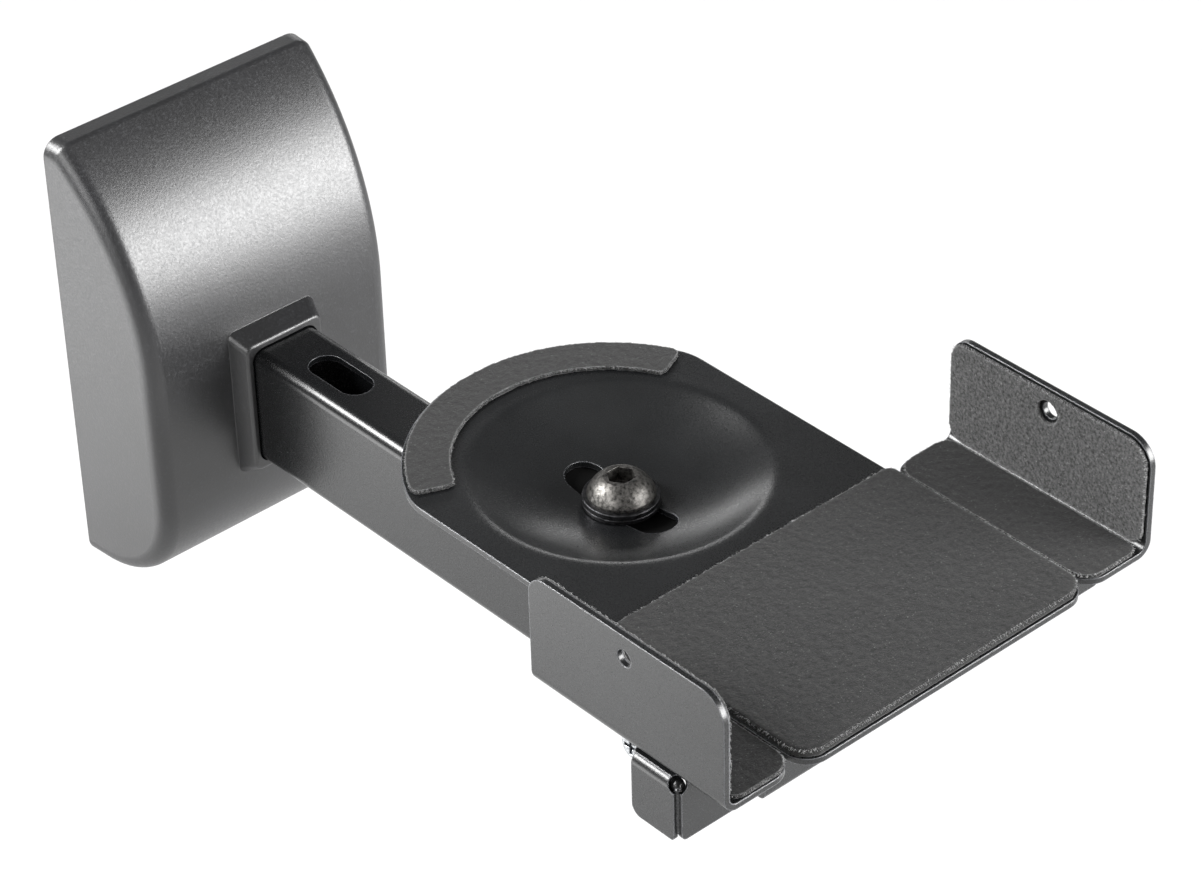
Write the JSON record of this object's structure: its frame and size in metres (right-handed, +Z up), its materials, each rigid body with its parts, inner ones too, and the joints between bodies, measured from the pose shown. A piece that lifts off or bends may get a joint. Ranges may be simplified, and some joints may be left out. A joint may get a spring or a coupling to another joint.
{
  "type": "speaker wall bracket",
  "caption": "Wall arm with a moulded cover and a swivelling, tilting tray whose sliding side clamps hold a loudspeaker cabinet",
  "frame": {"origin": "on the wall plane, at the middle of the wall cover and of the four wall holes", "axes": "+Z up, +Y into the wall, so the arm reaches out along -Y, and +X to the right as seen from the room"},
  "size_m": [0.1716, 0.3544, 0.165],
  "materials": {
    "powder_coat": "satin black powder coat",
    "cover_plastic": "satin moulded dark grey",
    "cap_plastic": "moulded black",
    "pad_foam": "dark fibrous foam rubber",
    "bolt_steel": "grey phosphated steel",
    "washer_steel": "dark plated steel",
    "zinc_steel": "bright zinc plate"
  },
  "bodies": {
    "wall_arm": {"wall_plate": "powder_coat", "wall_cover": "cover_plastic", "arm_tube": "powder_coat", "arm_end_cap": "cap_plastic", "seat_spacer": "powder_coat", "seat_bowl": "powder_coat", "crush_sleeve": "zinc_steel"},
    "pivot": {"pivot_bolt": "bolt_steel", "flat_washer": "washer_steel", "curved_washer": "washer_steel", "nut_washer": "zinc_steel", "lock_nut": "zinc_steel"},
    "tray": {"tray": "powder_coat", "arc_pad": "pad_foam", "front_pad": "pad_foam", "rail": "powder_coat", "left_clamp_nut": "zinc_steel", "right_clamp_nut": "zinc_steel"},
    "left_clamp": {"left_slider": "powder_coat", "left_clamp": "powder_coat", "left_flange_pad": "pad_foam", "left_foot_pad": "pad_foam"},
    "right_clamp": {"right_slider": "powder_coat", "right_clamp": "powder_coat", "right_flange_pad": "pad_foam", "right_foot_pad": "pad_foam"},
    "left_clamp_screw": {"left_clamp_screw": "zinc_steel"},
    "right_clamp_screw": {"right_clamp_screw": "zinc_steel"}
  },
  "joints": [
    {"name": "swivel", "type": "hinge", "parent": "wall_arm", "child": "pivot", "pos_m": [0, -0.2168, 0.0066], "axis": [0, 0, 1], "range_deg": [-90, 90]},
    {"name": "tilt", "type": "hinge", "parent": "pivot", "child": "tray", "pos_m": [0, -0.2168, 0.1131], "axis": [1, 0, 0], "range_deg": [-10, 10]},
    {"name": "left_slide", "type": "slide", "parent": "tray", "child": "left_clamp", "axis": [-1, 0, 0], "range_m": [0, 0.038]},
    {"name": "right_slide", "type": "slide", "parent": "tray", "child": "right_clamp", "axis": [1, 0, 0], "range_m": [0, 0.038]},
    {"name": "left_screw_turn", "type": "hinge", "parent": "left_clamp", "child": "left_clamp_screw", "pos_m": [-0.0696, -0.303, 0.027], "axis": [1, 0, 0], "range_deg": [-10, 17200]},
    {"name": "right_screw_turn", "type": "hinge", "parent": "right_clamp", "child": "right_clamp_screw", "pos_m": [0.0696, -0.303, 0.027], "axis": [-1, 0, 0], "range_deg": [-10, 17200]}
  ],
  "couplings": [
    {"joint": "left_screw_turn", "follows": "left_slide", "rad_per_m": 7854},
    {"joint": "right_screw_turn", "follows": "right_slide", "rad_per_m": 7854}
  ]
}
